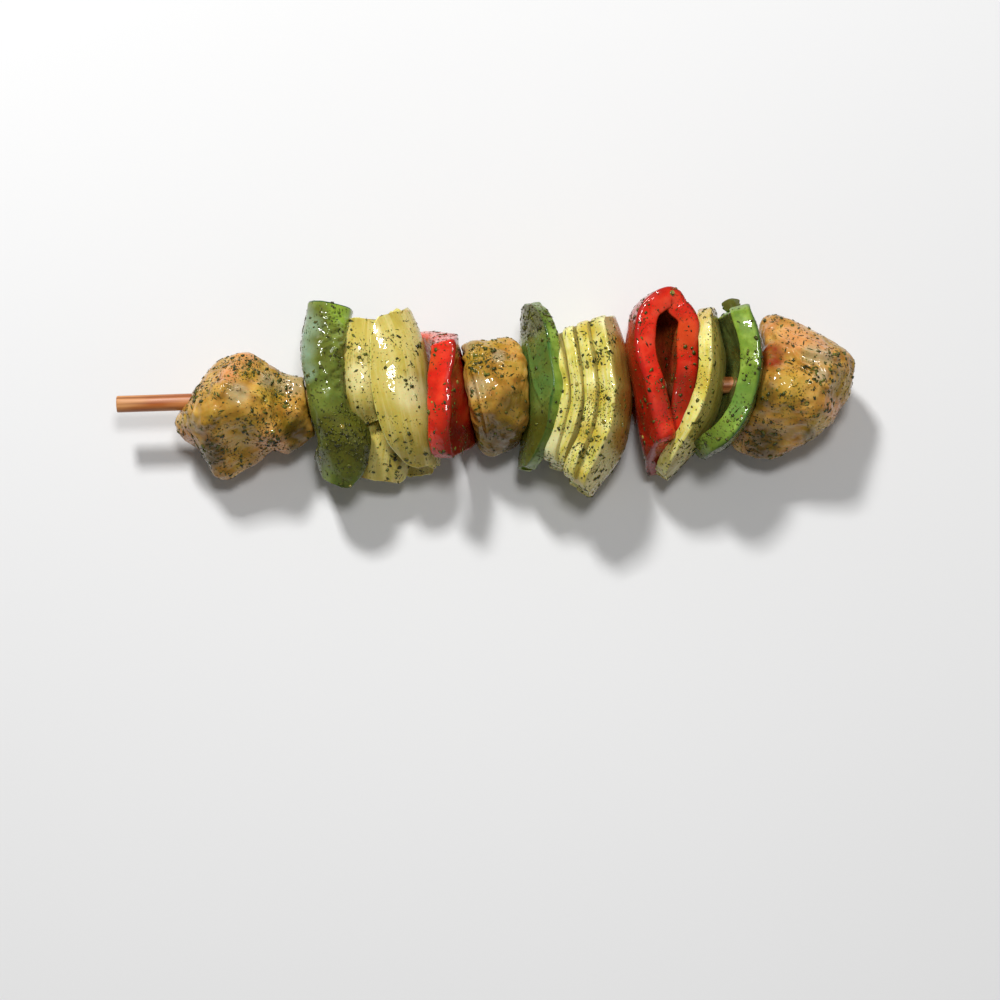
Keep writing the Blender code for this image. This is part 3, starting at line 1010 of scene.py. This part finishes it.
# ---------------------------------------------------------------------------------------------
# Herbs: flakes and crumbs of dried parsley and oregano from the marinade, stuck to whatever they
# touch, in crowds and singly, and drops of its oil. A flake is a thin torn leaf, dark green and wet.
# ---------------------------------------------------------------------------------------------
def flake_mesh(name, outline, thick=0.14):
    """A torn flake of leaf, a millimetre or so long, lying in X and Y and slightly folded."""
    bm = bmesh.new()
    ring = [bm.verts.new(Vector((x, y, 0.25 * abs(y))) * MM) for x, y in outline]
    face = bm.faces.new(ring)
    grown = bmesh.ops.extrude_face_region(bm, geom=[face])
    lifted = [item for item in grown["geom"] if isinstance(item, bmesh.types.BMVert)]
    bmesh.ops.translate(bm, verts=lifted, vec=Vector((0, 0, thick * MM)))
    bmesh.ops.recalc_face_normals(bm, faces=bm.faces)
    mesh = bpy.data.meshes.new(name)
    bm.to_mesh(mesh)
    bm.free()
    return mesh


def drop_mesh(name):
    """A low dome of oil, a millimetre across."""
    bm = bmesh.new()
    bmesh.ops.create_uvsphere(bm, u_segments=12, v_segments=8, radius=0.5 * MM)
    for vertex in bm.verts:
        vertex.co.z *= 0.45
    mesh = bpy.data.meshes.new(name)
    bm.to_mesh(mesh)
    bm.free()
    return mesh


def herb_leaf():
    """Dried herb soaked in oil: near black where it is thick, olive where light comes through."""
    made, tree, shader = new_material(
        "dried herb, wet", Specular_IOR_Level=0.3, Coat_Weight=0.15, Coat_Roughness=0.15
    )
    place = add(tree, "ShaderNodeTexCoord").outputs["Object"]
    mottled = add(tree, "ShaderNodeTexNoise", {"Vector": place, "Scale": 500.0, "Detail": 2.0})
    ramp = [(0.32, "#242407"), (0.68, "#66681c"), (0.5, "#40420f")]
    tone = add(tree, "ShaderNodeValToRGB", {"Fac": mottled.outputs[0]}, ramp=ramp)
    tree.links.new(tone.outputs[0], shader.inputs["Base Color"])
    rougher = add(
        tree,
        "ShaderNodeMapRange",
        {"Value": mottled.outputs[0], "From Min": 0.3, "From Max": 0.7, "To Min": 0.35, "To Max": 0.6},
    )
    tree.links.new(rougher.outputs[0], shader.inputs["Roughness"])
    return made


def yellow_oil():
    """A drop of cloudy yellow oil, shiny all over."""
    made, tree, shader = new_material(
        "marinade oil, cloudy", IOR=1.46, Roughness=0.04, Coat_Weight=1.0, Coat_Roughness=0.02
    )
    place = add(tree, "ShaderNodeTexCoord").outputs["Object"]
    cloudy = add(tree, "ShaderNodeTexNoise", {"Vector": place, "Scale": 300.0, "Detail": 1.0})
    ramp = [(0.35, "#7a6a1e"), (0.65, "#a89a48")]
    tone = add(tree, "ShaderNodeValToRGB", {"Fac": cloudy.outputs[0]}, ramp=ramp)
    tree.links.new(tone.outputs[0], shader.inputs["Base Color"])
    return made


CROWDS = [
    # where the marinade has gathered, seen from above: (place, reach)
    ((22.9, 2.5), 3),
    ((26, -15), 4.5),
    ((46, 1), 4),
    ((43, -12), 5),
    ((37, 8), 5),
    ((66, -13), 8),
    ((117, 18), 5),
    ((103, 8), 5),
    ((134.5, 8), 4),
    ((134, -8), 5),
    ((131, -20), 5),
    ((181, -17), 5),
    ((192, 0), 6),
    ((200, 5), 4),
    ((162, -14), 4),
]


def open_surface(pieces, reach):
    """One mesh of the food's faces that look out into the open, where marinade can lie, and not at a
    neighbour within reach. Its attribute sticky says how much of it each point holds."""
    points, faces = [], []
    for piece in pieces:
        start = len(points)
        points += [vertex.co.copy() for vertex in piece.data.vertices]
        faces += [[start + k for k in polygon.vertices] for polygon in piece.data.polygons]
    tree = BVHTree.FromPolygons(points, faces)
    kept = []
    sticky = np.zeros(len(points), np.float32)
    for face in faces:
        corners = [points[k] for k in face]
        middle = sum(corners, Vector()) / len(corners)
        normal = (corners[1] - corners[0]).cross(corners[2] - corners[0])
        if normal.length_squared == 0:
            continue
        normal.normalize()
        if normal.z > -0.5 and tree.ray_cast(middle + normal * 0.05 * MM, normal, reach)[0] is None:
            kept.append(face)
            here = (middle - BARE_END) / MM
            crowd = 0.0
            for place, size in CROWDS:
                crowd += math.exp(-((math.dist((here.x, here.y), place) / size) ** 2))
            sticky[face] = (0.3 + 0.7 * max(0.0, normal.z)) * (0.6 + 1.6 * crowd)
    mesh = bpy.data.meshes.new("open surface")
    mesh.from_pydata(points, [], kept)
    mesh.attributes.new("sticky", "FLOAT", "POINT").data.foreach_set("value", sticky)
    return mesh


def scatter_tree(shapes, finish):
    """Geometry nodes that stick shapes to a surface: in soft crowds, turned and sized at random."""
    tree = bpy.data.node_groups.new("scattered marinade", "GeometryNodeTree")
    face = tree.interface
    face.new_socket("Geometry", in_out="INPUT", socket_type="NodeSocketGeometry")
    for name in ("Each square metre", "Crowd size", "Smallest", "Largest", "Tilt"):
        face.new_socket(name, in_out="INPUT", socket_type="NodeSocketFloat")
    face.new_socket("Geometry", in_out="OUTPUT", socket_type="NodeSocketGeometry")
    given = add(tree, "NodeGroupInput").outputs
    place = add(tree, "GeometryNodeInputPosition").outputs[0]
    per_metre = add(tree, "ShaderNodeMath", {0: 1.0, 1: given["Crowd size"]}, operation="DIVIDE")
    crowds = add(tree, "ShaderNodeTexNoise", {"Vector": place, "Scale": per_metre.outputs[0], "Detail": 2.0})
    crowded = add(
        tree,
        "ShaderNodeMapRange",
        {"Value": crowds.outputs[0], "From Min": 0.38, "From Max": 0.68, "To Min": 0.05, "To Max": 2.6},
    )
    sticky = add(tree, "GeometryNodeInputNamedAttribute", {"Name": "sticky"}, data_type="FLOAT")
    held = add(tree, "ShaderNodeMath", {0: crowded.outputs[0], 1: sticky.outputs[0]}, operation="MULTIPLY")
    density = add(
        tree, "ShaderNodeMath", {0: held.outputs[0], 1: given["Each square metre"]}, operation="MULTIPLY"
    )
    points = add(
        tree,
        "GeometryNodeDistributePointsOnFaces",
        {"Mesh": given["Geometry"], "Density": density.outputs[0], "Seed": 5},
    )
    tilt_low = add(tree, "ShaderNodeMath", {0: given["Tilt"], 1: -1.0}, operation="MULTIPLY")
    low = add(tree, "ShaderNodeCombineXYZ", {0: tilt_low.outputs[0], 1: tilt_low.outputs[0], 2: 0.0})
    high = add(tree, "ShaderNodeCombineXYZ", {0: given["Tilt"], 1: given["Tilt"], 2: 2 * math.pi})
    turn = add(
        tree,
        "FunctionNodeRandomValue",
        {0: low.outputs[0], 1: high.outputs[0], "Seed": 11},
        data_type="FLOAT_VECTOR",
    )
    turned = add(
        tree,
        "FunctionNodeRotateRotation",
        {"Rotation": points.outputs["Rotation"], "Rotate By": turn.outputs[0]},
        rotation_space="LOCAL",
    )
    size = add(tree, "FunctionNodeRandomValue", {2: 0.0, 3: 1.0, "Seed": 23}, data_type="FLOAT")
    skewed = add(tree, "ShaderNodeMath", {0: size.outputs[1], 1: 2.2}, operation="POWER")
    scale = add(
        tree,
        "ShaderNodeMapRange",
        {"Value": skewed.outputs[0], "To Min": given["Smallest"], "To Max": given["Largest"]},
    )
    several = add(tree, "GeometryNodeJoinGeometry")
    for shape in shapes:
        one = add(tree, "GeometryNodeObjectInfo", {"Object": shape, "As Instance": True})
        tree.links.new(one.outputs["Geometry"], several.inputs[0])
    stuck = add(
        tree,
        "GeometryNodeInstanceOnPoints",
        {
            "Points": points.outputs["Points"],
            "Instance": several.outputs[0],
            "Pick Instance": True,
            "Rotation": turned.outputs[0],
            "Scale": scale.outputs[0],
        },
    )
    real = add(tree, "GeometryNodeRealizeInstances", {"Geometry": stuck.outputs[0]})
    finished = add(tree, "GeometryNodeSetMaterial", {"Geometry": real.outputs[0], "Material": finish})
    add(tree, "NodeGroupOutput", {"Geometry": finished.outputs[0]})
    return tree


def scattered(name, slot_name, surface, meshes, finish, **amounts):
    """A piece of shapes stuck all over the surface. amounts are the tree's inputs."""
    shapes = [mesh_object(mesh.name, mesh) for mesh in meshes]
    carrier = mesh_object(name + "_carrier", surface.copy())
    scatter = carrier.modifiers.new("scatter", "NODES")
    scatter.node_group = scatter_tree(shapes, finish)
    for item in scatter.node_group.interface.items_tree:
        key = item.name.replace(" ", "_")
        if key in amounts:
            scatter[item.identifier] = amounts[key]
    made = bpy.data.meshes.new_from_object(carrier.evaluated_get(bpy.context.evaluated_depsgraph_get()))
    for used in (carrier, *shapes):
        bpy.data.objects.remove(used)
    piece = mesh_object(name, made)
    if not made.materials:
        made.materials.append(finish)
    print(name, sum(len(p.vertices) - 2 for p in made.polygons), "triangles")
    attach(piece, "root")
    return piece


FLAKES = [
    [(-0.7, -0.1), (-0.1, -0.32), (0.8, 0.0), (-0.2, 0.3)],
    [(-0.5, -0.25), (0.3, -0.35), (0.5, 0.15), (-0.3, 0.35)],
    [(-0.95, 0.0), (-0.1, -0.17), (0.9, -0.05), (0.0, 0.16)],
    [(-0.45, -0.4), (0.35, -0.3), (0.6, 0.2), (0.0, 0.45), (-0.5, 0.2)],
]
CRUMBS = [
    [(-0.5, -0.1), (0.1, -0.2), (0.45, 0.1)],
    [(-0.3, -0.2), (0.3, -0.15), (0.1, 0.3)],
]
where = open_surface(food, 5 * MM)
leaf = herb_leaf()
scattered(
    "herb_flakes",
    "green_pepper",
    where,
    [flake_mesh(f"flake_{number}", outline) for number, outline in enumerate(FLAKES)],
    leaf,
    Each_square_metre=280000.0,
    Crowd_size=0.008,
    Smallest=0.4,
    Largest=1.3,
    Tilt=0.16,
)
scattered(
    "herb_crumbs",
    "green_pepper",
    where,
    [flake_mesh(f"crumb_{number}", outline, 0.1) for number, outline in enumerate(CRUMBS)],
    leaf,
    Each_square_metre=1100000.0,
    Crowd_size=0.006,
    Smallest=0.35,
    Largest=1.0,
    Tilt=0.16,
)
scattered(
    "oil_drops",
    "chicken",
    where,
    [drop_mesh("drop")],
    yellow_oil(),
    Each_square_metre=9000.0,
    Crowd_size=0.01,
    Smallest=0.5,
    Largest=1.6,
    Tilt=0.0,
)

# ---------------------------------------------------------------------------------------------
# The studio: a plain pale table, a small lamp behind and to the left, another overhead, weak fill
# from the right and a dim white surround. The camera looks down from nearly above.
# ---------------------------------------------------------------------------------------------
def floor_finish():
    made, tree, shader = new_material("table top, matt white", Roughness=0.6)
    place = add(tree, "ShaderNodeTexCoord").outputs["Object"]
    faint = add(tree, "ShaderNodeTexNoise", {"Vector": place, "Scale": 3.0, "Detail": 1.0})
    pale = [(0.3, "#dadada"), (0.7, "#dedede")]
    tone = add(tree, "ShaderNodeValToRGB", {"Fac": faint.outputs[0]}, ramp=pale)
    tree.links.new(tone.outputs[0], shader.inputs["Base Color"])
    return made


bm = bmesh.new()
bmesh.ops.create_grid(bm, x_segments=2, y_segments=2, size=3)
floor_mesh = bpy.data.meshes.new("floor")
bm.to_mesh(floor_mesh)
bm.free()
floor = mesh_object("floor", floor_mesh, floor_finish())

CAMERA_AIM = from_stick((106.6, -30.3, 0))
CAMERA_DISTANCE = 1.0
CAMERA_ELEVATION = math.radians(86)
CAMERA_ROLL = math.radians(-1.79)  # the stick rises a little towards the right
FRAME_WIDTH = 0.28
camera_data = bpy.data.cameras.new("camera")
camera_data.sensor_width = 36
camera_data.lens = 36 * CAMERA_DISTANCE / FRAME_WIDTH
camera_data.clip_start = 0.05
camera_data.clip_end = 20
camera = bpy.data.objects.new("camera", camera_data)
bpy.context.scene.collection.objects.link(camera)
back = Vector((0, -math.cos(CAMERA_ELEVATION), math.sin(CAMERA_ELEVATION)))
turned = Matrix.Rotation(math.radians(90) - CAMERA_ELEVATION, 4, "X") @ Matrix.Rotation(CAMERA_ROLL, 4, "Z")
camera.matrix_world = Matrix.Translation(CAMERA_AIM + back * CAMERA_DISTANCE) @ turned
bpy.context.scene.camera = camera


def soft_light(name, place, size, watts):
    """A square lamp aimed at the kebab."""
    data = bpy.data.lights.new(name, "AREA")
    data.size = size
    data.energy = watts
    lamp = bpy.data.objects.new(name, data)
    bpy.context.scene.collection.objects.link(lamp)
    lamp.location = place
    lamp.rotation_euler = (-Vector(place)).to_track_quat("-Z", "Y").to_euler()
    return lamp


soft_light("key", (-0.3, 0.8, 1.0), 0.17, 15.5)
soft_light("fill", (0.9, -0.5, 0.9), 0.9, 0.8)
soft_light("top", (0.1, 0.3, 1.5), 0.24, 8)
world = bpy.data.worlds.new("studio")
bpy.context.scene.world = world
world.use_nodes = True
world.node_tree.nodes["Background"].inputs["Color"].default_value = (1, 1, 1, 1)
world.node_tree.nodes["Background"].inputs["Strength"].default_value = 0.14
bpy.context.scene.view_settings.view_transform = "Standard"
